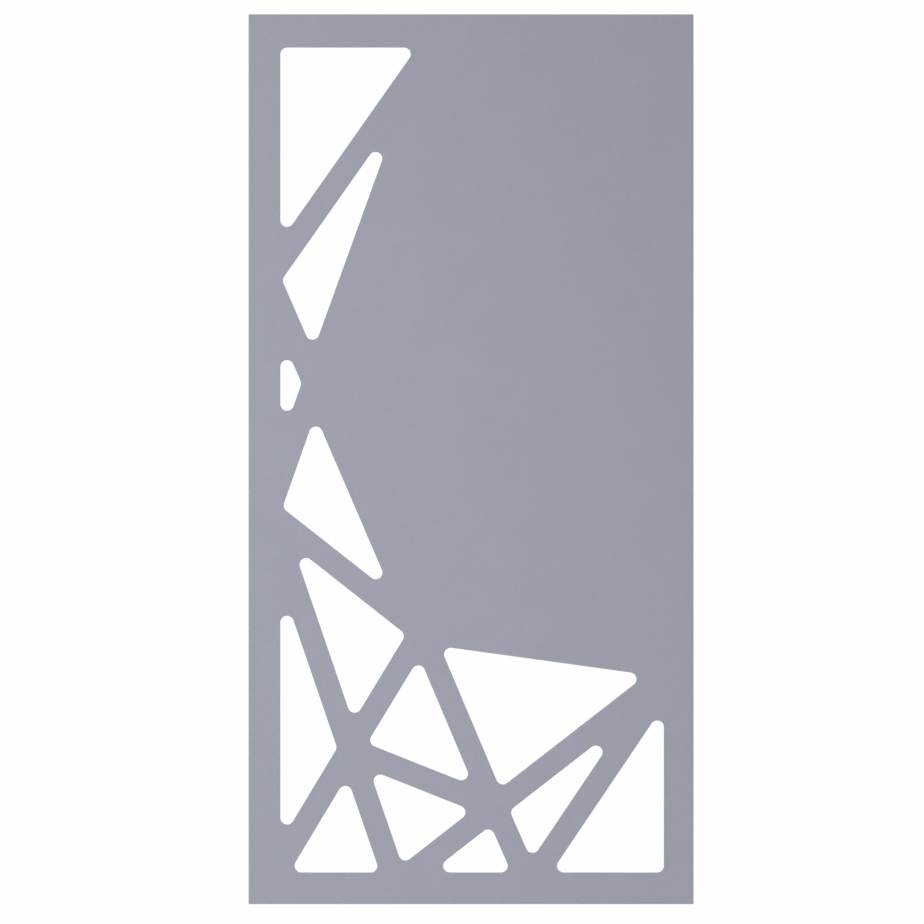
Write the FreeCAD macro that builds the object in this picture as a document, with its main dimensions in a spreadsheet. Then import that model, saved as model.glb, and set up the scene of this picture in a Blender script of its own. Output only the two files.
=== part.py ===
import FreeCAD, Part
import os
import re
import Sketcher

# Hanging room divider. Two pressed felt boards are glued back to back and cut through by triangular
# openings, which leave a lattice of straight ribs. Two slotted channels are let into the top edge between
# them, each with a nut for a hanger that slides along it.
# X runs to the right seen from the front, Y from front to back and Z up. The origin lies midway between
# the two hanging threads, level with their mouths.

# Lengths in millimetres, grouped by the piece that they belong to.
SIZES = {
    # Felt boards
    "board_width": 1200,
    "board_height": 2400,
    "board_thickness": 12,
    # Openings, with the plain felt left between them and along the edges of the board
    "rib_width": 62.5,
    "corner_radius": 18.5,
    "fullest_corner_share": 0.9,
    "left_margin": 85,
    "right_margin": 79.5,
    "top_margin": 88.5,
    "bottom_margin": 84.5,
    # Places where the ribs meet, as shares of the board's width from its left edge and of its height from
    # its foot. A joint on the side of the lattice needs only the share along that side.
    "top_joint_across_share": 0.429,
    "upper_left_joint_up_share": 0.7035,
    "lower_left_joint_up_share": 0.441,
    "near_foot_joint_across_share": 0.332,
    "far_foot_joint_across_share": 0.6305,
    "right_joint_up_share": 0.2665,
    "crossing_across_share": 0.147,
    "crossing_up_share": 0.586,
    "high_hub_across_share": 0.388,
    "high_hub_up_share": 0.306,
    "low_hub_across_share": 0.2275,
    "low_hub_up_share": 0.174,
    "right_hub_across_share": 0.5545,
    "right_hub_up_share": 0.109,
    # Hanger channels, open to the top, each on a tongue that is glued between the boards
    "hanger_inset": 200,
    "channel_length": 260,
    "channel_width": 16,
    "channel_wall": 1.5,
    "channel_lip": 2,
    "channel_floor": 2,
    "channel_corner_radius": 0.8,
    "channel_recess": 1,
    "cavity_height": 8,
    "slot_width": 8.2,
    "tongue_thickness": 2.5,
    "tongue_height": 45,
    "glue_gap": 0.2,
    # Screws through each tongue into the back board
    "screw_count": 3,
    "screw_end_inset": 40,
    "screw_drop": 24,
    "screw_length": 10,
    "screw_shank_radius": 1.5,
    "screw_head_radius": 2.8,
    "screw_clearance": 0.05,
    # Plugs in the ends of the channels
    "stop_flange": 2,
    "stop_depth": 14,
    "stop_nose": 1,
    "stop_clearance": 0.1,
    # Slot nuts, cut from a T-shaped bar
    "nut_length": 36,
    "nut_height": 5.5,
    "nut_clearance": 0.2,
    "nut_end_chamfer": 1.2,
    "neck_drop": 0.3,
    "hanger_bore_radius": 2.5,
    # Set screws that lock the nuts
    "lock_offset": 11,
    "lock_radius": 2.5,
    "lock_clearance": 0.05,
    "lock_point_radius": 1.2,
    "lock_chamfer": 0.5,
    "lock_drop": 0.6,
    "lock_tip_gap": 0.2,
    "lock_key": 2.5,
    "lock_key_depth": 3,
    # How far a cut runs past the face that it opens
    "overrun": 5,
}

# Heights, and half widths, written in those sizes.
CHANNEL_TOP = "neck_drop"
LIP_UNDERSIDE = f"({CHANNEL_TOP} - channel_lip)"
CAVITY_FLOOR = f"({LIP_UNDERSIDE} - cavity_height)"
CHANNEL_BOTTOM = f"({CAVITY_FLOOR} - channel_floor)"
TONGUE_BOTTOM = f"({CHANNEL_BOTTOM} - tongue_height)"
SCREW_HEIGHT = f"({CHANNEL_BOTTOM} - screw_drop)"
BOARD_TOP = f"({CHANNEL_TOP} + channel_recess)"
BOARD_BOTTOM = f"({BOARD_TOP} - board_height)"
NUT_SHOULDER = f"({LIP_UNDERSIDE} - nut_clearance)"
NUT_BOTTOM = f"({NUT_SHOULDER} - nut_height)"
LOCK_TIP = f"({CAVITY_FLOOR} + lock_tip_gap)"
CAVITY_HALF = "(channel_width / 2 - channel_wall)"
POCKET_HALF = "(channel_length / 2 + stop_flange + glue_gap)"
SCREW_ROW_HALF = "(channel_length / 2 - screw_end_inset)"
RIGHT_HANGER = "(board_width / 2 - hanger_inset)"
LEFT_HANGER = f"(-{RIGHT_HANGER})"


def across(share):
    return f"(board_width * ({share} - 1 / 2))"


def up(share):
    return f"({BOARD_BOTTOM} + board_height * {share})"


# The lattice's sides lie half a rib outside the openings, so that every opening is its triangle of ribs
# drawn in by half a rib all round.
LEFT_SIDE = "(left_margin - rib_width / 2 - board_width / 2)"
RIGHT_SIDE = "(board_width / 2 - right_margin + rib_width / 2)"
TOP_SIDE = f"({BOARD_TOP} - top_margin + rib_width / 2)"
FOOT_SIDE = f"({BOARD_BOTTOM} + bottom_margin - rib_width / 2)"

JOINTS = {
    "top left": (LEFT_SIDE, TOP_SIDE),
    "foot left": (LEFT_SIDE, FOOT_SIDE),
    "foot right": (RIGHT_SIDE, FOOT_SIDE),
    "top": (across("top_joint_across_share"), TOP_SIDE),
    "upper left": (LEFT_SIDE, up("upper_left_joint_up_share")),
    "lower left": (LEFT_SIDE, up("lower_left_joint_up_share")),
    "near foot": (across("near_foot_joint_across_share"), FOOT_SIDE),
    "far foot": (across("far_foot_joint_across_share"), FOOT_SIDE),
    "right": (RIGHT_SIDE, up("right_joint_up_share")),
    "crossing": (across("crossing_across_share"), up("crossing_up_share")),
    "high hub": (across("high_hub_across_share"), up("high_hub_up_share")),
    "low hub": (across("low_hub_across_share"), up("low_hub_up_share")),
    "right hub": (across("right_hub_across_share"), up("right_hub_up_share")),
}

OPENINGS = [
    ("top left", "top", "upper left"),
    ("upper left", "top", "crossing"),
    ("upper left", "crossing", "lower left"),
    ("lower left", "crossing", "high hub"),
    ("lower left", "high hub", "low hub"),
    ("lower left", "low hub", "foot left"),
    ("high hub", "right hub", "low hub"),
    ("high hub", "right", "right hub"),
    ("foot left", "low hub", "near foot"),
    ("low hub", "right hub", "near foot"),
    ("near foot", "right hub", "far foot"),
    ("right hub", "right", "far foot"),
    ("far foot", "right", "foot right"),
]

doc = FreeCAD.newDocument("HangingRoomDivider")
sheet = doc.addObject("Spreadsheet::Sheet", "Sizes")
for row, (alias, size) in enumerate(SIZES.items(), start=1):
    sheet.set(f"A{row}", alias.replace("_", " "))
    sheet.set(f"B{row}", str(size))
    sheet.setAlias(f"B{row}", alias)
doc.recompute()


def sized(text):
    """Put the sheet's name before each size in an expression."""
    return re.sub(r"[a-z]\w*", lambda word: f"Sizes.{word[0]}" if word[0] in SIZES else word[0], text)


def value(text):
    return float(sheet.evalExpression(sized(text)))


def bind(target, name, text):
    target.setExpression(name, sized(text))


def new_body(label):
    body = doc.addObject("PartDesign::Body", label.title().replace("_", ""))
    body.Label = label
    return body


def new_sketch(body, name, role, offset=("0", "0", "0")):
    """Start a sketch on one of the body's own planes, moved by three expressions in the plane's axes."""
    sketch = body.newObject("Sketcher::SketchObject", name)
    plane = next(feature for feature in body.Origin.OriginFeatures if feature.Role == role)
    sketch.AttachmentSupport = [(plane, "")]
    sketch.MapMode = "FlatFace"
    for axis, text in zip("xyz", offset):
        if text != "0":
            bind(sketch, f"AttachmentOffset.Base.{axis}", text)
    return sketch


def pin(sketch, line, place):
    """Hold the start of a line at a place given by two expressions, and on an axis where one is 0."""
    for text, kind, other_axis in zip(place, ("DistanceX", "DistanceY"), (-2, -1)):
        if text == "0":
            sketch.addConstraint(Sketcher.Constraint("PointOnObject", line, 1, other_axis))
        else:
            number = sketch.addConstraint(Sketcher.Constraint(kind, line, 1, value(text)))
            bind(sketch, f"Constraints[{number}]", text)


def draw_polygon(sketch, corners):
    """Draw a closed outline through corners that are pairs of expressions."""
    first = sketch.GeometryCount
    places = [FreeCAD.Vector(value(x), value(y), 0) for x, y in corners]
    following = places[1:] + places[:1]
    sketch.addGeometry([Part.LineSegment(start, end) for start, end in zip(places, following)])
    for step in range(len(corners)):
        after = first + (step + 1) % len(corners)
        sketch.addConstraint(Sketcher.Constraint("Coincident", first + step, 2, after, 1))
    for step, corner in enumerate(corners):
        pin(sketch, first + step, corner)


def draw_rectangle(sketch, left, bottom, right, top):
    draw_polygon(sketch, [(left, bottom), (right, bottom), (right, top), (left, top)])


def draw_circle(sketch, centre_across, radius):
    """Draw a circle centred on the sketch's level axis."""
    middle = FreeCAD.Vector(value(centre_across), 0, 0)
    circle = sketch.addGeometry(Part.Circle(middle, FreeCAD.Vector(0, 0, 1), value(radius)))
    sketch.addConstraint(Sketcher.Constraint("PointOnObject", circle, 3, -1))
    if centre_across == "0":
        sketch.addConstraint(Sketcher.Constraint("PointOnObject", circle, 3, -2))
    else:
        number = sketch.addConstraint(Sketcher.Constraint("DistanceX", circle, 3, value(centre_across)))
        bind(sketch, f"Constraints[{number}]", centre_across)
    number = sketch.addConstraint(Sketcher.Constraint("Radius", circle, value(radius)))
    bind(sketch, f"Constraints[{number}]", radius)


def mirrored(corners):
    """Complete an outline whose given half lies to the right of the upright axis."""
    return corners + [(f"-({x})", y) for x, y in reversed(corners)]


def pad(body, name, sketch, length, backward=False, both_ways=False):
    feature = body.newObject("PartDesign::Pad", name)
    feature.Profile = sketch
    feature.Reversed = backward
    if both_ways:
        feature.SideType = "Symmetric"
    bind(feature, "Length", length)
    doc.recompute()
    return feature


def must_cut(body, before, name):
    doc.recompute()
    if body.Shape.Volume >= before:
        raise RuntimeError(f"{name} in {body.Label} cuts nothing")


def pocket(body, name, sketch, depth=None, backward=False):
    """Cut a sketch into a body, right through where no depth is given."""
    doc.recompute()
    before = body.Shape.Volume
    feature = body.newObject("PartDesign::Pocket", name)
    feature.Profile = sketch
    feature.Reversed = backward
    if depth:
        bind(feature, "Length", depth)
    else:
        feature.Type = "ThroughAll"
    must_cut(body, before, name)
    return feature


def turn(body, name, sketch, kind="Revolution"):
    """Revolve a sketch about its own upright axis, as a solid or as a groove."""
    doc.recompute()
    before = body.Shape.Volume if kind == "Groove" else None
    feature = body.newObject(f"PartDesign::{kind}", name)
    feature.Profile = sketch
    feature.ReferenceAxis = (sketch, ["V_Axis"])
    feature.Angle = 360
    if before is not None:
        must_cut(body, before, name)
    doc.recompute()
    return feature


def dress(body, kind, name, base, names, size_property, size):
    """Round or chamfer named edges or faces of a feature."""
    feature = body.newObject(f"PartDesign::{kind}", name)
    feature.Base = (base, names)
    bind(feature, size_property, size)
    doc.recompute()
    return feature


def edge_names(shape, wanted):
    return [f"Edge{number}" for number, edge in enumerate(shape.Edges, start=1) if wanted(edge)]


def runs_along(edge, axis):
    return isinstance(edge.Curve, Part.Line) and abs(abs(edge.Curve.Direction.dot(axis)) - 1) < 1e-6


def fullest_corner(first, second, third):
    """Give the largest corner radius that an opening takes, as a share of the largest circle inside it."""
    (ax, ay), (bx, by), (cx, cy) = first, second, third
    area_twice = f"abs(({bx} - {ax}) * ({cy} - {ay}) - ({by} - {ay}) * ({cx} - {ax}))"
    sides = [
        f"sqrt(({bx} - {ax}) ^ 2 + ({by} - {ay}) ^ 2)",
        f"sqrt(({cx} - {bx}) ^ 2 + ({cy} - {by}) ^ 2)",
        f"sqrt(({ax} - {cx}) ^ 2 + ({ay} - {cy}) ^ 2)",
    ]
    return f"fullest_corner_share * ({area_twice} / ({' + '.join(sides)}) - rib_width / 2)"


def opening_corner(joint, second, third):
    """Give the corner of an opening next to one joint of its triangle, half a rib from both of its ribs."""
    (ax, ay), (bx, by), (cx, cy) = joint, second, third
    across_b, up_b = f"({bx} - {ax})", f"({by} - {ay})"
    across_c, up_c = f"({cx} - {ax})", f"({cy} - {ay})"
    length_b = f"sqrt({across_b} ^ 2 + {up_b} ^ 2)"
    length_c = f"sqrt({across_c} ^ 2 + {up_c} ^ 2)"
    factor = f"rib_width / 2 / abs({across_b} * {up_c} - {up_b} * {across_c})"
    return (
        f"{ax} + {factor} * ({across_b} * {length_c} + {across_c} * {length_b})",
        f"{ay} + {factor} * ({up_b} * {length_c} + {up_c} * {length_b})",
    )


def screw_sketch(body, name, corners, hanger="0"):
    """Draw an outline, by radius and by Y, about the axis of the first screw in a hanger's row."""
    sketch = new_sketch(body, name, "XY_Plane", (f"{hanger} - {SCREW_ROW_HALF}", "0", SCREW_HEIGHT))
    draw_polygon(sketch, corners)
    return sketch


def screw_row(body, name, feature, sketch):
    """Repeat a feature at every screw of the row."""
    pattern = body.newObject("PartDesign::LinearPattern", name)
    pattern.Originals = [feature]
    pattern.Direction = (sketch, ["H_Axis"])
    bind(pattern, "Length", f"2 * {SCREW_ROW_HALF}")
    bind(pattern, "Occurrences", "screw_count")
    body.Tip = pattern
    doc.recompute()
    return pattern


def make_board(label, behind):
    """Make one felt board: the outline, the pockets for the channels on its inner face and the openings."""
    body = new_body(label)
    outline = new_sketch(body, "BoardOutline", "XZ_Plane")
    draw_rectangle(outline, "-board_width / 2", BOARD_BOTTOM, "board_width / 2", BOARD_TOP)
    pad(body, "Board", outline, "board_thickness", backward=behind)

    channels = new_sketch(body, "ChannelOutlines", "XZ_Plane")
    tongues = new_sketch(body, "TongueOutlines", "XZ_Plane")
    for hanger in (LEFT_HANGER, RIGHT_HANGER):
        left, right = f"{hanger} - {POCKET_HALF}", f"{hanger} + {POCKET_HALF}"
        draw_rectangle(channels, left, f"{CHANNEL_BOTTOM} - glue_gap", right, f"{BOARD_TOP} + overrun")
        draw_rectangle(tongues, left, f"{TONGUE_BOTTOM} - glue_gap", right, CHANNEL_BOTTOM)
    pocket(body, "ChannelPockets", channels, "channel_width / 2 + glue_gap", backward=not behind)
    pocket(body, "TonguePockets", tongues, "tongue_thickness / 2 + glue_gap", backward=not behind)

    if behind:
        bore = "screw_shank_radius + screw_clearance"
        depth = "screw_length - tongue_thickness / 2 + screw_clearance"
        corners = [("0", "0"), (bore, "0"), (bore, depth), ("0", depth)]
        for side, hanger in (("Left", LEFT_HANGER), ("Right", RIGHT_HANGER)):
            pilot = screw_sketch(body, f"{side}PilotOutline", corners, hanger)
            hole = turn(body, f"{side}PilotHole", pilot, "Groove")
            screw_row(body, f"{side}PilotHoles", hole, pilot)

    triangles = new_sketch(body, "OpeningOutlines", "XZ_Plane")
    limits = []
    for names in OPENINGS:
        first, second, third = (JOINTS[name] for name in names)
        corners = [
            opening_corner(first, second, third),
            opening_corner(second, third, first),
            opening_corner(third, first, second),
        ]
        draw_polygon(triangles, corners)
        limits.append(fullest_corner(first, second, third))
    openings = pocket(body, "Openings", triangles, backward=not behind)

    # One cutter rounds every corner, so the smallest opening limits its radius.
    through = FreeCAD.Vector(0, 1, 0)
    thickness = value("board_thickness")
    inner = value("board_width / 2 - left_margin / 2")
    corners = edge_names(
        openings.Shape,
        lambda edge: runs_along(edge, through)
        and abs(edge.Length - thickness) < 1e-6
        and abs(edge.CenterOfMass.x) < inner,
    )
    radius = f"min(corner_radius; {'; '.join(limits)})"
    dress(body, "Fillet", "OpeningCorners", openings, corners, "Radius", radius)
    return body


def place(body, across_board, turned=False):
    """Move a piece that is drawn about its own centre to its place, turned half round if mirrored."""
    if turned:
        body.Placement = FreeCAD.Placement(FreeCAD.Vector(), FreeCAD.Rotation(FreeCAD.Vector(0, 0, 1), 180))
    bind(body, "Placement.Base.x", across_board)


def make_channel(label, hanger):
    """Make an extruded channel, with a countersunk hole through its tongue for each screw."""
    body = new_body(label)
    profile = new_sketch(body, "ChannelProfile", "YZ_Plane")
    half = [
        ("tongue_thickness / 2", TONGUE_BOTTOM),
        ("tongue_thickness / 2", CHANNEL_BOTTOM),
        ("channel_width / 2", CHANNEL_BOTTOM),
        ("channel_width / 2", CHANNEL_TOP),
        ("slot_width / 2", CHANNEL_TOP),
        ("slot_width / 2", LIP_UNDERSIDE),
        (CAVITY_HALF, LIP_UNDERSIDE),
        (CAVITY_HALF, CAVITY_FLOOR),
    ]
    draw_polygon(profile, mirrored(half))
    bar = pad(body, "Channel", profile, "channel_length", both_ways=True)

    lengthwise = FreeCAD.Vector(1, 0, 0)
    side = value("channel_width / 2")
    outer = edge_names(
        bar.Shape, lambda edge: runs_along(edge, lengthwise) and abs(abs(edge.CenterOfMass.y) - side) < 1e-6
    )
    dress(body, "Fillet", "ChannelCorners", bar, outer, "Radius", "channel_corner_radius")

    shank = "screw_shank_radius + screw_clearance"
    head = "screw_head_radius + screw_clearance"
    front = "-tongue_thickness / 2"
    countersink = screw_sketch(body, "CountersinkOutline", [
        ("0", f"{front} - overrun"),
        (head, f"{front} - overrun"),
        (head, front),
        (shank, f"{front} + screw_head_radius - screw_shank_radius"),
        (shank, "tongue_thickness / 2 + overrun"),
        ("0", "tongue_thickness / 2 + overrun"),
    ])
    hole = turn(body, "ScrewHole", countersink, "Groove")
    screw_row(body, "ScrewHoles", hole, countersink)
    place(body, hanger)
    return body


def make_screws(label, hanger):
    """Make a row of countersunk screws, with heads flush in the front of the tongue."""
    body = new_body(label)
    body.AllowCompound = True
    front = "-tongue_thickness / 2"
    outline = screw_sketch(body, "ScrewOutline", [
        ("0", front),
        ("screw_head_radius", front),
        ("screw_shank_radius", f"{front} + screw_head_radius - screw_shank_radius"),
        ("screw_shank_radius", f"{front} + screw_length - screw_shank_radius"),
        ("0", f"{front} + screw_length"),
    ])
    screw = turn(body, "Screw", outline)
    screw_row(body, "Screws", screw, outline)
    place(body, hanger)
    return body


def make_stop(label, hanger, right_end):
    """Make a plug whose stem fills the end of a channel and its slot, under a flange that covers the end."""
    body = new_body(label)
    stem_profile = new_sketch(body, "StemProfile", "YZ_Plane")
    stem_half = [
        (f"{CAVITY_HALF} - stop_clearance", f"{CAVITY_FLOOR} + stop_clearance"),
        (f"{CAVITY_HALF} - stop_clearance", f"{LIP_UNDERSIDE} - stop_clearance"),
        ("slot_width / 2 - stop_clearance", f"{LIP_UNDERSIDE} - stop_clearance"),
        ("slot_width / 2 - stop_clearance", CHANNEL_TOP),
    ]
    draw_polygon(stem_profile, mirrored(stem_half))
    stem = pad(body, "Stem", stem_profile, "stop_depth")

    nose = value("stop_depth")
    tip = [
        f"Face{number}"
        for number, face in enumerate(stem.Shape.Faces, start=1)
        if abs(face.CenterOfMass.x - nose) < 1e-6
    ]
    dress(body, "Chamfer", "Nose", stem, tip, "Size", "stop_nose")

    flange_profile = new_sketch(body, "FlangeProfile", "YZ_Plane")
    draw_rectangle(flange_profile, "-channel_width / 2", CHANNEL_BOTTOM, "channel_width / 2", CHANNEL_TOP)
    pad(body, "Flange", flange_profile, "stop_flange", backward=True)
    sign = "+" if right_end else "-"
    place(body, f"{hanger} {sign} channel_length / 2", turned=right_end)
    return body


def make_nut(label, hanger, turned):
    """Make a slot nut from T-shaped bar, with the hanging thread's bore and the lock screw's bore."""
    body = new_body(label)
    profile = new_sketch(body, "NutProfile", "YZ_Plane")
    half = [
        (f"{CAVITY_HALF} - nut_clearance", NUT_BOTTOM),
        (f"{CAVITY_HALF} - nut_clearance", NUT_SHOULDER),
        ("slot_width / 2 - nut_clearance", NUT_SHOULDER),
        ("slot_width / 2 - nut_clearance", "0"),
    ]
    draw_polygon(profile, mirrored(half))
    bar = pad(body, "Bar", profile, "nut_length", both_ways=True)

    upright = FreeCAD.Vector(0, 0, 1)
    end = value("nut_length / 2")
    ends = edge_names(
        bar.Shape,
        lambda edge: runs_along(edge, upright)
        and abs(abs(edge.CenterOfMass.x) - end) < 1e-6
        and edge.CenterOfMass.z < value(NUT_SHOULDER),
    )
    dress(body, "Chamfer", "EndCorners", bar, ends, "Size", "nut_end_chamfer")

    thread = new_sketch(body, "HangerBoreOutline", "XY_Plane")
    draw_circle(thread, "0", "hanger_bore_radius")
    pocket(body, "HangerBore", thread)
    lock = new_sketch(body, "LockBoreOutline", "XY_Plane")
    draw_circle(lock, "lock_offset", "lock_radius + lock_clearance")
    pocket(body, "LockBore", lock)
    place(body, hanger, turned)
    return body


def make_lock_screw(label, hanger, turned):
    """Make a set screw with a cone point at the channel's floor and a hexagon socket in its top."""
    body = new_body(label)
    top = "-lock_drop"
    outline = new_sketch(body, "LockOutline", "XZ_Plane", ("lock_offset", "0", "0"))
    draw_polygon(outline, [
        ("0", LOCK_TIP),
        ("lock_point_radius", LOCK_TIP),
        ("lock_radius", f"{LOCK_TIP} + lock_radius - lock_point_radius"),
        ("lock_radius", f"{top} - lock_chamfer"),
        ("lock_radius - lock_chamfer", top),
        ("0", top),
    ])
    turn(body, "Shank", outline)

    socket = new_sketch(body, "SocketOutline", "XY_Plane", ("lock_offset", "0", top))
    corner = "lock_key / sqrt(3)"
    draw_polygon(socket, [
        (corner, "0"),
        (f"{corner} / 2", "lock_key / 2"),
        (f"-{corner} / 2", "lock_key / 2"),
        (f"-{corner}", "0"),
        (f"-{corner} / 2", "-lock_key / 2"),
        (f"{corner} / 2", "-lock_key / 2"),
    ])
    pocket(body, "Socket", socket, "lock_key_depth")
    place(body, hanger, turned)
    return body


pieces = [
    make_board("front_felt_board", behind=False),
    make_board("back_felt_board", behind=True),
]
for side, hanger in (("left", LEFT_HANGER), ("right", RIGHT_HANGER)):
    at_right = side == "right"
    pieces += [
        make_channel(f"{side}_hanger_channel", hanger),
        make_screws(f"{side}_channel_screws", hanger),
        make_stop(f"{side}_outer_stop", hanger, right_end=at_right),
        make_stop(f"{side}_inner_stop", hanger, right_end=not at_right),
        make_nut(f"{side}_hanger_nut", hanger, turned=at_right),
        make_lock_screw(f"{side}_lock_screw", hanger, turned=at_right),
    ]
doc.recompute()

failed = [item.Label for item in doc.Objects if {"Invalid", "Error"} & set(item.State)]
failed += [piece.Label for piece in pieces if piece.Shape.isNull() or not piece.Shape.isValid()]
if failed:
    raise RuntimeError(f"not built: {failed}")

os.makedirs("parts", exist_ok=True)
for piece in pieces:
    piece.Shape.exportStep(f"parts/{piece.Label}.step")
    box = piece.Shape.BoundBox
    print(
        f"{piece.Label}: {len(piece.Shape.Solids)} solids, {piece.Shape.Volume / 1000:.2f} cm3,"
        f" {box.XLength:.1f} x {box.YLength:.1f} x {box.ZLength:.1f} mm"
    )
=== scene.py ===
# %% [markdown]
# # A felt room divider that hangs from the ceiling
# Two boards of pressed felt are glued back to back and cut through by triangles. Two short aluminium
# channels in the top edge hold the sliding nuts that take the hangers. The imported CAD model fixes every
# size and place. This lesson adds what the solids leave out: soft edges, a cut thread and the finish of
# each surface.

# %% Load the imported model
import math

import bmesh
import bpy
from mathutils import Matrix, Vector


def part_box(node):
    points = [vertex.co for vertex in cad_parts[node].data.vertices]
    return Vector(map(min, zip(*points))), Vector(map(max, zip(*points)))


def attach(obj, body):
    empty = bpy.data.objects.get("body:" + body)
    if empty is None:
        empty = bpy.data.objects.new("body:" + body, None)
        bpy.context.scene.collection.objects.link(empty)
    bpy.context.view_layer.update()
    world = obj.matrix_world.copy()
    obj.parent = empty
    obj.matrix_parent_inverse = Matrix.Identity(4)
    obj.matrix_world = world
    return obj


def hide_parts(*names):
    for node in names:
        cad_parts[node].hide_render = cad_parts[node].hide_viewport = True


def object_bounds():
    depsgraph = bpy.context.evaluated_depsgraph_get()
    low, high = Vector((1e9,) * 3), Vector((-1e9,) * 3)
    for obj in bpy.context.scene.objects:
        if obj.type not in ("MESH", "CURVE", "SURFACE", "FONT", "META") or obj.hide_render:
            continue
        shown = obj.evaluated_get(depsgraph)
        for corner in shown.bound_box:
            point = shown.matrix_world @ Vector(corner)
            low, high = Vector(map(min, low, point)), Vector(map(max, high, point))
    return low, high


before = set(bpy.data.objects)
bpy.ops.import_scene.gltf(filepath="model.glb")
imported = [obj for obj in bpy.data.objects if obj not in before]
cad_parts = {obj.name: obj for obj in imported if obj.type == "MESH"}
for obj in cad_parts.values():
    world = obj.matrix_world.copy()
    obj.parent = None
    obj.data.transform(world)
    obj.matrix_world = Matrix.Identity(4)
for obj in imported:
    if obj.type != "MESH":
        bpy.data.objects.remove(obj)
cad_low, cad_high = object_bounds()
panel_centre = (cad_low + cad_high) / 2
panel_width, panel_depth, panel_height = cad_high - cad_low
MM = 0.001
print(f"panel: {panel_width:.3f} x {panel_depth:.3f} x {panel_height:.3f} m, {len(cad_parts)} nodes")

# %% [markdown]
# ## The camera
# The photograph is taken square on, and not one wall of the cut-outs shows in it, so the camera stood far
# away. An orthographic camera would give the same picture. A long lens is chosen instead because it keeps
# a little perspective for the other views. The distance follows from how wide the panel is in the picture.

# %% Set the camera
IMAGE_SIDE_PX = 924
PANEL_WIDTH_PX = 444.9
PANEL_CENTRE_PX = (471.08, 459.25)
LENS_MM = 400
SENSOR_MM = 36

metres_per_px = panel_width / PANEL_WIDTH_PX
camera_distance = IMAGE_SIDE_PX * metres_per_px * LENS_MM / SENSOR_MM
camera_data = bpy.data.cameras.new("long_lens")
camera_data.lens = LENS_MM
camera_data.sensor_width = SENSOR_MM
camera = bpy.data.objects.new("long_lens", camera_data)
camera.location = (
    panel_centre.x - (PANEL_CENTRE_PX[0] - IMAGE_SIDE_PX / 2) * metres_per_px,
    cad_low.y - camera_distance,
    panel_centre.z + (PANEL_CENTRE_PX[1] - IMAGE_SIDE_PX / 2) * metres_per_px,
)
camera.rotation_euler = (math.radians(90), 0, 0)
bpy.context.scene.collection.objects.link(camera)
bpy.context.scene.camera = camera
bpy.context.scene.view_settings.view_transform = "Standard"
print(f"camera {camera_distance:.2f} m in front of the felt")

# %% [markdown]
# ## Nodes with one helper
# Every finish below is a small tree of shader nodes. Blender makes a node, its settings and its links in
# separate calls, which soon hides the idea of a material. One helper does all three: a value that is a
# socket is linked, and anything else is written on the input itself.

# %% Add a node with its settings and inputs
def add_node(tree, kind, inputs=None, **settings):
    node = tree.nodes.new(kind)
    for name, setting in settings.items():
        setattr(node, name, setting)
    for socket, value in (inputs or {}).items():
        if isinstance(value, bpy.types.NodeSocket):
            tree.links.new(value, node.inputs[socket])
        else:
            node.inputs[socket].default_value = value
    return node


print("helper ready: add_node")

# %% [markdown]
# ## The nodes used most
# Sums, patterns and soft steps from one value to another come up in every finish. Node groups could hold
# them, but a short function shows in the script what each one does. Every pattern reads the place of a
# point on its piece, in metres, so that it keeps its scale on pieces of all sizes.

# %% Name the nodes used most
def calculate(tree, operation, *values):
    return add_node(tree, "ShaderNodeMath", dict(enumerate(values)), operation=operation).outputs[0]


def calculate_vector(tree, operation, *values):
    return add_node(tree, "ShaderNodeVectorMath", dict(enumerate(values)), operation=operation).outputs[0]


def remap(tree, value, low, high, to_low, to_high):
    inputs = {0: value, 1: low, 2: high, 3: to_low, 4: to_high}
    return add_node(tree, "ShaderNodeMapRange", inputs, interpolation_type="SMOOTHSTEP").outputs[0]


def noise(tree, vector, scale=1, detail=0):
    return add_node(tree, "ShaderNodeTexNoise", {"Vector": vector, "Scale": scale, "Detail": detail}).outputs


def new_material(name):
    """Make a material with an empty node tree. Give also the tree and the place of a point on the piece."""
    material = bpy.data.materials.new(name)
    material.use_nodes = True
    material.node_tree.nodes.clear()
    place = add_node(material.node_tree, "ShaderNodeTexCoord").outputs["Object"]
    return material, material.node_tree, place


print("helpers ready: calculate, calculate_vector, remap, noise, new_material")

# %% [markdown]
# ## A white room
# The background of the photograph is plain white. A world that is white to every ray would flood the felt,
# so the world is white only where it is looked at, in a mirror or through glass too. It lights the panel
# with a dimmer grey that is stronger from above, as in a room.

# %% Make the room
AMBIENT = 0.44
AMBIENT_TILT = 0.36
BACKGROUND_WHITE = (0.991, 0.991, 0.991, 1)


def seen_directly(tree):
    """Give 1 for rays from the camera, from a mirror or through glass, and 0 for light on things."""
    rays = add_node(tree, "ShaderNodeLightPath").outputs
    either = calculate(tree, "MAXIMUM", rays["Is Camera Ray"], rays["Is Glossy Ray"])
    return calculate(tree, "MAXIMUM", either, rays["Is Transmission Ray"])


world = bpy.data.worlds.new("white_room")
world.use_nodes = True
room = world.node_tree
room.nodes.clear()
direction = add_node(room, "ShaderNodeTexCoord").outputs["Generated"]
upward = add_node(room, "ShaderNodeSeparateXYZ", {0: direction}).outputs["Z"]
strength = calculate(room, "MULTIPLY_ADD", upward, AMBIENT_TILT, AMBIENT)
dim = add_node(room, "ShaderNodeBackground", {"Color": (1, 1, 1, 1), "Strength": strength}).outputs[0]
white = add_node(room, "ShaderNodeBackground", {"Color": BACKGROUND_WHITE}).outputs[0]
shown = add_node(room, "ShaderNodeMixShader", {0: seen_directly(room), 1: dim, 2: white}).outputs[0]
add_node(room, "ShaderNodeOutputWorld", {"Surface": shown})
bpy.context.scene.world = world
print(f"a world that lights from {AMBIENT - AMBIENT_TILT:.2f} below to {AMBIENT + AMBIENT_TILT:.2f} above")

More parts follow.
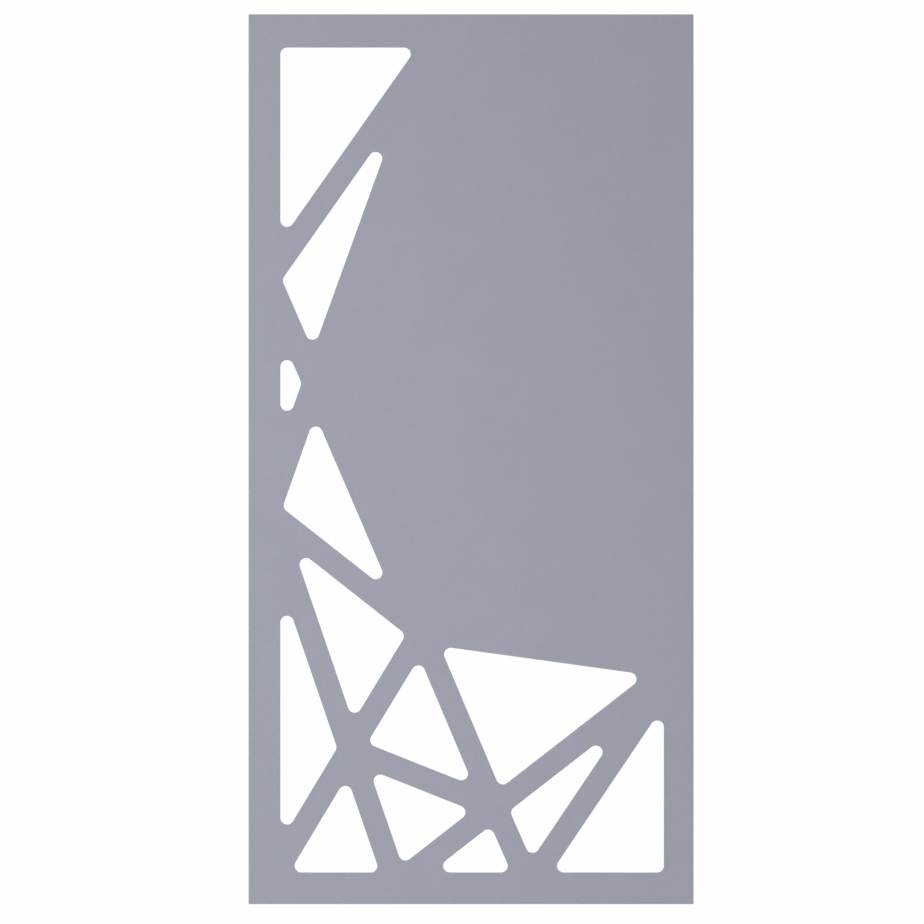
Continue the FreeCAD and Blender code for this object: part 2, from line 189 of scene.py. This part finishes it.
# %% [markdown]
# ## Two lamps
# The felt in the photograph is brightest left of the middle and fades slowly to the right edge and the top.
# A sun lamp would light it evenly, so a large soft disc hangs up to the left in front and gives that fade.
# A weaker one hangs opposite it, so that the back can be seen too.

# %% Hang the lamps
FRONT_OFFSET = Vector((-1.5, -4.0, 1.0))
BACK_OFFSET = Vector((1.5, 4.0, 1.0))
LAMP_SIZE = 1.6
FRONT_WATTS = 91
BACK_WATTS = 75


def hang_lamp(name, offset, watts):
    data = bpy.data.lights.new(name, "AREA")
    data.shape = "DISK"
    data.size = LAMP_SIZE
    data.energy = watts
    lamp = bpy.data.objects.new(name, data)
    lamp.location = panel_centre + offset
    lamp.rotation_euler = (-offset).to_track_quat("-Z", "Y").to_euler()
    lamp.visible_camera = False
    bpy.context.scene.collection.objects.link(lamp)
    print(f"{name}: {watts} W, {offset.length:.2f} m from the panel's middle")


hang_lamp("front_lamp", FRONT_OFFSET, FRONT_WATTS)
hang_lamp("back_lamp", BACK_OFFSET, BACK_WATTS)

# %% [markdown]
# ## The floor's finish
# The floor is pale and matt. If it simply ended, its rim would show from above, and a floor without an end
# would never be as white as the background. So the surface turns to the white of the background towards
# the rim, which hides where it stops.

# %% Finish the floor
FLOOR_RADIUS = 3.0
FADE_START = 0.6
FLOOR_COLOUR = (0.9, 0.9, 0.9, 1)

pale_floor, tree, place = new_material("pale_floor")
level_place = calculate_vector(tree, "MULTIPLY", place, (1, 1, 0))
from_middle = add_node(tree, "ShaderNodeVectorMath", {0: level_place}, operation="LENGTH").outputs["Value"]
rim = remap(tree, from_middle, FADE_START, FLOOR_RADIUS, 0, 1)
matt = add_node(tree, "ShaderNodeBsdfDiffuse", {"Color": FLOOR_COLOUR}).outputs[0]
glow = add_node(tree, "ShaderNodeEmission", {"Color": BACKGROUND_WHITE}).outputs[0]
whitened = calculate(tree, "MULTIPLY", rim, seen_directly(tree))
surface = add_node(tree, "ShaderNodeMixShader", {0: whitened, 1: matt, 2: glow}).outputs[0]
add_node(tree, "ShaderNodeOutputMaterial", {"Surface": surface})
print(f"the floor turns white from {FADE_START} m to {FLOOR_RADIUS} m")

# %% [markdown]
# ## The floor
# The panel hangs free, so the floor lies a forearm below it and only takes its soft shadow. A square plane
# would do, but a disc ends at the same distance all round, as its finish does.

# %% Lay the floor
FLOOR_DROP = 0.35
FLOOR_SIDES = 96

shape = bmesh.new()
bmesh.ops.create_circle(shape, cap_ends=True, segments=FLOOR_SIDES, radius=FLOOR_RADIUS)
bmesh.ops.translate(shape, verts=shape.verts, vec=(0, 0, cad_low.z - FLOOR_DROP))
floor_mesh = bpy.data.meshes.new("floor")
shape.to_mesh(floor_mesh)
shape.free()
floor_mesh.materials.append(pale_floor)
floor = bpy.data.objects.new("floor", floor_mesh)
bpy.context.scene.collection.objects.link(floor)
print(f"floor at {cad_low.z - FLOOR_DROP:.2f} m")

# %% [markdown]
# ## Where the felt pattern is measured
# Pressed felt is a mat of fine fibres that lie flat in the sheet and cross in all directions. An image of
# felt would repeat and stretch on the cut edges, so the pattern is worked out in the board's own metres
# instead. Real fibres are never straight, so each point is first pushed aside by a slow noise. The face
# and the cut edges are told apart by the direction in which the surface points.

# %% Start the felt
BENDS_PER_METRE = 240
CURL = 2.4 * MM
NOISE_MIDDLE = 0.5

felt, felt_tree, felt_place = new_material("pressed_felt")
bends = noise(felt_tree, felt_place, BENDS_PER_METRE, detail=1)["Color"]
push = calculate_vector(felt_tree, "SUBTRACT", bends, (NOISE_MIDDLE,) * 3)
curled = calculate_vector(felt_tree, "MULTIPLY_ADD", push, (CURL, 0, CURL), felt_place)
points_to = add_node(felt_tree, "ShaderNodeNewGeometry").outputs["True Normal"]
towards = add_node(felt_tree, "ShaderNodeSeparateXYZ", {0: points_to}).outputs["Y"]
on_cut = calculate(felt_tree, "SUBTRACT", 1, calculate(felt_tree, "ABSOLUTE", towards))
print(f"fibres bend aside by up to {CURL * NOISE_MIDDLE / MM:.1f} mm")

# %% [markdown]
# ## Strands
# A strand could be a curve of its own, but a board this size has millions. A noise whose spots are as
# long, thick and wide as a strand gives them all at once. Four such noises are turned to different
# directions in the sheet, and the highest of them wins, so that one strand seems to lie over another. A
# pale set and a dark set make the felt heathered.

# %% Lay the strands
STRAND_SIZE = (3.2 * MM, 0.16 * MM, 0.18 * MM)
STRAND_TURNS = {"pale strands": (12, 63, 97, 148), "dark strands": (35, 81, 122, 169)}
STRAND_RISE = (0.54, 0.86)

patterns = {}
for tone, turns in STRAND_TURNS.items():
    on_top = 0
    for degrees in turns:
        along = add_node(felt_tree, "ShaderNodeMapping", {
            "Vector": curled,
            "Rotation": (0, math.radians(degrees), 0),
            "Scale": STRAND_SIZE,
        }, vector_type="TEXTURE").outputs[0]
        on_top = calculate(felt_tree, "MAXIMUM", on_top, noise(felt_tree, along)[0])
    patterns[tone] = remap(felt_tree, on_top, *STRAND_RISE, 0, 1)
print("strand directions:", STRAND_TURNS)

# %% [markdown]
# ## Clouds, needle marks and layers
# The mat is never quite even. Where more fibres lie, the felt is a shade paler, in soft clouds from a
# finger's to a hand's width. Barbed needles have pushed fibres through the sheet and left fine pits. On
# the cut edges the blade has opened the layers, which show as streaks along the edge. Noise gives the
# clouds and the streaks, and Voronoi cells, which keep apart from each other as needles do, give the pits.

# %% Mottle the felt
CLOUDS_PER_METRE = (9, 70)
PITS_PER_METRE = 330
PIT_SCATTER = 0.8
PIT_RIM = (0.06, 0.26)
LAYERS_PER_METRE = (60, 1400, 60)


def centred_noise(vector, scale=1):
    return calculate(felt_tree, "SUBTRACT", noise(felt_tree, vector, scale, detail=2)[0], NOISE_MIDDLE)


broad, fine = (centred_noise(felt_place, scale) for scale in CLOUDS_PER_METRE)
patterns["clouds"] = calculate(felt_tree, "ADD", broad, fine)
cells = {"Vector": felt_place, "Scale": PITS_PER_METRE, "Randomness": PIT_SCATTER}
to_pit = add_node(felt_tree, "ShaderNodeTexVoronoi", cells).outputs["Distance"]
# The pits sink the bump as real dents and also darken the colour as painted shade.
patterns["pits"] = remap(felt_tree, to_pit, *PIT_RIM, 1, 0)
layers = {"Vector": felt_place, "Scale": LAYERS_PER_METRE}
along_edge = add_node(felt_tree, "ShaderNodeMapping", layers).outputs[0]
patterns["streaks"] = calculate(felt_tree, "MULTIPLY", centred_noise(along_edge), on_cut)
print("felt patterns:", ", ".join(patterns))

# %% [markdown]
# ## One felt from all of them
# A shader for each pattern, mixed into one, would be hard to balance. Instead the patterns add up to one
# number that makes the dye a little paler or darker, and to one height for the bump. The darkening in the
# needle pits is painted shade in the colour, besides their dent in the bump. Felt has no shine, so it is
# rough with hardly any reflection, and a thin sheen stands for the fuzz that catches light along its edges.

# %% Put the felt together
FELT_COLOUR = (0.328, 0.337, 0.402)
# The negative weight of the pits paints shade into each needle pit; the other weights are the felt's tones.
SHADES = {"clouds": 0.045, "pale strands": 0.3, "dark strands": -0.3, "pits": -0.15, "streaks": 0.35}
HEIGHTS = {"pale strands": 1.0, "dark strands": 0.7, "pits": -1.0, "streaks": 1.6}
FIBRE_RELIEF = 0.12 * MM


def add_up(weights, total):
    for name, weight in weights.items():
        total = calculate(felt_tree, "MULTIPLY_ADD", patterns[name], weight, total)
    return total


# The felt's colour, with painted shade in the needle pits.
dye_with_painted_pit_shade = calculate_vector(felt_tree, "MULTIPLY", FELT_COLOUR, add_up(SHADES, total=1))
bump = {"Height": add_up(HEIGHTS, total=0), "Strength": 0.6, "Distance": FIBRE_RELIEF}
felt_surface = add_node(felt_tree, "ShaderNodeBsdfPrincipled", {
    "Base Color": dye_with_painted_pit_shade,
    "Normal": add_node(felt_tree, "ShaderNodeBump", bump).outputs[0],
    "Roughness": 0.95,
    "Specular IOR Level": 0.15,
    "Sheen Weight": 0.12,
    "Sheen Roughness": 0.5,
})
add_node(felt_tree, "ShaderNodeOutputMaterial", {"Surface": felt_surface.outputs[0]})
print(f"felt: {len(SHADES)} patterns in its colour, {len(HEIGHTS)} in its relief")

# %% [markdown]
# ## Softening a copy of a CAD piece
# The CAD solids have knife-sharp edges and come as loose triangles. Real edges are worn, pressed or
# deburred, and they catch a line of light. A copy is welded, its flat triangles are dissolved into whole
# faces, and then every sharp edge that a test picks is bevelled. A Bevel modifier would do the same, but
# it can't tell the outside of a board from its glued side.

# %% Soften a copy of a CAD piece
SHARP = math.radians(30)
FLAT = math.radians(0.5)
WELD = 0.001 * MM


def open_copy(node):
    shape = bmesh.new()
    shape.from_mesh(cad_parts[node].data)
    bmesh.ops.remove_doubles(shape, verts=shape.verts, dist=WELD)
    bmesh.ops.dissolve_limit(shape, angle_limit=FLAT, verts=shape.verts, edges=shape.edges)
    return shape


def soften(shape, width, segments, wanted=None):
    sharp = [edge for edge in shape.edges if edge.is_manifold and edge.calc_face_angle() > SHARP]
    chosen = [edge for edge in sharp if wanted is None or wanted(edge)]
    bmesh.ops.bevel(
        shape, geom=chosen, offset=width, offset_type="OFFSET", affect="EDGES",
        segments=segments, profile=0.5, material=-1, clamp_overlap=False,
    )
    return len(chosen)


print(f"pieces are softened where faces meet at more than {math.degrees(SHARP):.0f} degrees")

# %% [markdown]
# ## Turning a copy into a piece
# A softened copy stands in for its CAD node, moves with the same body and names its slot in the list of
# materials. Smooth shading makes the bevels round, but it also bends the light on the large faces beside
# them. More bevel segments would only narrow that bend. Weighted normals let the large faces decide, and
# so keep them flat.

# %% Turn a copy into a piece
def finish_piece(shape, name, node, body, finish):
    mesh = bpy.data.meshes.new(name)
    shape.to_mesh(mesh)
    shape.free()
    mesh.shade_smooth()
    mesh.set_sharp_from_angle(angle=SHARP)
    mesh.materials.append(finish)
    piece = bpy.data.objects.new(name, mesh)
    bpy.context.scene.collection.objects.link(piece)
    piece.modifiers.new("even_faces", "WEIGHTED_NORMAL").keep_sharp = True
    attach(piece, body)
    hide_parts(node)
    return piece


# %% [markdown]
# ## The two felt boards
# Each board is cut from a flat sheet, and its outside edges are worn round by about a millimetre. The
# edges on the glued side are only a little broken, and the two together leave the fine groove that shows
# where the boards meet. The triangles could be cut again in Blender, but a copy of the CAD board has them
# in their exact places. An edge is picked by where it lies across the sheet, and a face by the same test.

# %% Make the boards
WORN_EDGE = 1.0 * MM
GLUED_EDGE = 0.45 * MM
NEAR = 0.01 * MM


def lies_at(edge_or_face, y):
    return all(abs(corner.co.y - y) < NEAR for corner in edge_or_face.verts)


def at_board_corner(edge):
    return all(
        abs(abs(corner.co.x - panel_centre.x) - panel_width / 2) < NEAR
        and abs(abs(corner.co.z - panel_centre.z) - panel_height / 2) < NEAR
        for corner in edge.verts
    )


for side, outer_y in (("front", cad_low.y), ("back", cad_high.y)):
    shape = open_copy(f"{side}_felt_board")
    flat_area = sum(face.calc_area() for face in shape.faces if lies_at(face, outer_y))
    outside = soften(
        shape, WORN_EDGE, segments=3, wanted=lambda edge: lies_at(edge, outer_y) or at_board_corner(edge)
    )
    glued = soften(shape, GLUED_EDGE, segments=2, wanted=lambda edge: lies_at(edge, 0))
    board = finish_piece(shape, f"{side}_felt", f"{side}_felt_board", "panel", felt)
    print(f"{board.name}: {flat_area:.3f} m2 of felt, {outside} outer and {glued} inner edges softened")

# %% [markdown]
# ## A finish for hard pieces
# The small pieces are of aluminium, steel and nylon. Each finish could be a tree of its own, but they
# differ only in colour, shine and grain. One function takes these, with the grain as spots to the metre in
# each direction. The spots break up the colour, the roughness and the relief, because no real surface is
# quite even.

# %% Make a hard finish
SPOT_RANGE = (0.3, 0.7)
SPOT_SHADES = (0.92, 1.08)


def hard_finish(name, colour, metallic, roughness, spread, grain, relief):
    material, tree, place = new_material(name)
    along = add_node(tree, "ShaderNodeMapping", {"Vector": place, "Scale": grain}).outputs[0]
    spots = noise(tree, along, detail=4)[0]
    tint = calculate_vector(tree, "MULTIPLY", colour, remap(tree, spots, *SPOT_RANGE, *SPOT_SHADES))
    dulled = remap(tree, spots, *SPOT_RANGE, roughness - spread, roughness + spread)
    bump = {"Height": spots, "Strength": 0.4, "Distance": relief}
    surface = add_node(tree, "ShaderNodeBsdfPrincipled", {
        "Base Color": tint,
        "Metallic": metallic,
        "Roughness": dulled,
        "Normal": add_node(tree, "ShaderNodeBump", bump).outputs[0],
    })
    add_node(tree, "ShaderNodeOutputMaterial", {"Surface": surface.outputs[0]})
    return material


print("spots make a hard finish", SPOT_SHADES[0], "to", SPOT_SHADES[1], "times as bright")

# %% [markdown]
# ## Metal and nylon
# Aluminium that was pressed through a die keeps fine lines along its length, so its grain is drawn out that
# way. Zinc plate and black oxide are round and cloudy, and nylon takes a fine even grain from its mould. A
# picture of each surface would need a map of every face, while a grain in metres fits all the pieces.

# %% Make the hard finishes
anodised = hard_finish(
    "drawn_anodised_aluminium", colour=(0.76, 0.77, 0.78), metallic=1, roughness=0.36, spread=0.08,
    grain=(12, 2500, 2500), relief=0.02 * MM,
)
zinc = hard_finish(
    "zinc_plate", colour=(0.62, 0.63, 0.64), metallic=1, roughness=0.32, spread=0.1,
    grain=(700, 700, 700), relief=0.01 * MM,
)
black_oxide = hard_finish(
    "black_oxide", colour=(0.05, 0.05, 0.055), metallic=1, roughness=0.42, spread=0.1,
    grain=(900, 900, 900), relief=0.01 * MM,
)
nylon = hard_finish(
    "moulded_black_nylon", colour=(0.03, 0.03, 0.032), metallic=0, roughness=0.55, spread=0.1,
    grain=(4000, 4000, 4000), relief=0.05 * MM,
)
print("hard finishes:", anodised.name, zinc.name, black_oxide.name, nylon.name)

# %% [markdown]
# ## Channels and stops
# The channel is an extrusion, so its edges keep only a slight roundness from the die. The plugs in its
# ends are moulded and rounder. Both have the right form in the CAD model, so they are softened copies of
# its pieces and not drawn again.

# %% Make the channels and their stops
DIE_EDGE = 0.15 * MM
MOULD_EDGE = 0.35 * MM

for side in ("left", "right"):
    shape = open_copy(f"{side}_hanger_channel")
    eased = soften(shape, DIE_EDGE, segments=2)
    finish_piece(shape, f"{side}_channel", f"{side}_hanger_channel", "panel", anodised)
    for end in ("outer", "inner"):
        shape = open_copy(f"{side}_{end}_stop")
        soften(shape, MOULD_EDGE, segments=2)
        finish_piece(shape, f"{side}_{end}_plug", f"{side}_{end}_stop", "panel", nylon)
    print(f"{side} channel: {eased} edges eased, two plugs")

# %% [markdown]
# ## A cut thread
# The CAD model drills the hanging thread at the size of the tap drill and leaves the thread out. Here the
# bore is opened to the thread's full width, and the ridge between the grooves is put back as one long
# coil. A Screw modifier could make it too. Spinning a small flat profile about the bore does it in the
# nut's own mesh, when each step of the spin also climbs a little.

# %% Cut a thread
BORE_RADIUS = 2.5 * MM
THREAD_RADIUS = 3.0 * MM
PITCH = 1.0 * MM
RIDGE_FOOT = 0.44 * PITCH
RIDGE_CREST = 0.12 * PITCH
FOOT_DEPTH = 0.05 * MM
STEPS_PER_TURN = 32


def open_bore(shape, axis):
    bore = [corner for corner in shape.verts if abs((corner.co - axis).xy.length - BORE_RADIUS) < NEAR]
    wider = THREAD_RADIUS / BORE_RADIUS
    bmesh.ops.scale(shape, verts=bore, vec=(wider, wider, 1), space=Matrix.Translation(-axis))


def add_thread(shape, axis, low, high):
    foot = THREAD_RADIUS + FOOT_DEPTH
    crest = BORE_RADIUS
    outline = ((foot, -RIDGE_FOOT), (crest, -RIDGE_CREST), (crest, RIDGE_CREST), (foot, RIDGE_FOOT))
    start = low + PITCH / 2
    corners = [shape.verts.new((axis.x + radius, axis.y, start + rise)) for radius, rise in outline]
    section = shape.faces.new(corners)
    turns = (high - low) / PITCH - 1
    steps = round(turns * STEPS_PER_TURN)
    bmesh.ops.spin(
        shape, geom=[section], cent=axis, axis=(0, 0, 1), dvec=(0, 0, PITCH / STEPS_PER_TURN),
        angle=math.tau * steps / STEPS_PER_TURN, steps=steps, use_merge=False,
    )
    return turns


print(f"thread of {THREAD_RADIUS * 2 / MM:.0f} mm, one turn every {PITCH / MM:.0f} mm")

# %% [markdown]
# ## The nuts
# A slot nut is a short length of T-shaped bar, sawn off and plated, so its edges are only broken. It could
# be drawn again from its profile, but a copy of the CAD nut already has both bores in their places. The
# thread starts and ends a little inside the two mouths, as it does where a tap runs in through a
# countersink.

# %% Make the nuts
NUT_EDGE = 0.2 * MM
MOUTH = 0.3 * MM

for side in ("left", "right"):
    node = f"{side}_hanger_nut"
    low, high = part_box(node)
    axis = (low + high) / 2
    shape = open_copy(node)
    open_bore(shape, axis)
    soften(shape, NUT_EDGE, segments=2)
    turns = add_thread(shape, axis, low.z + MOUTH, high.z - MOUTH)
    bmesh.ops.recalc_face_normals(shape, faces=shape.faces)
    finish_piece(shape, f"{side}_nut", node, f"{side}_hanger", zinc)
    print(f"{side} nut: {turns:.1f} turns of thread")

# %% [markdown]
# ## Screws
# A black set screw with a hexagon socket locks each nut, and zinc screws with countersunk heads hold the
# channels to the back board. They could be copied and softened like the rest, but they are sharp little
# pieces and mostly hidden, so they keep the CAD model's meshes and only take a finish.

# %% Finish the screws
for side in ("left", "right"):
    for node, finish in ((f"{side}_lock_screw", black_oxide), (f"{side}_channel_screws", zinc)):
        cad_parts[node].material_slots[0].material = finish
        print(f"{node}: {finish.name}")
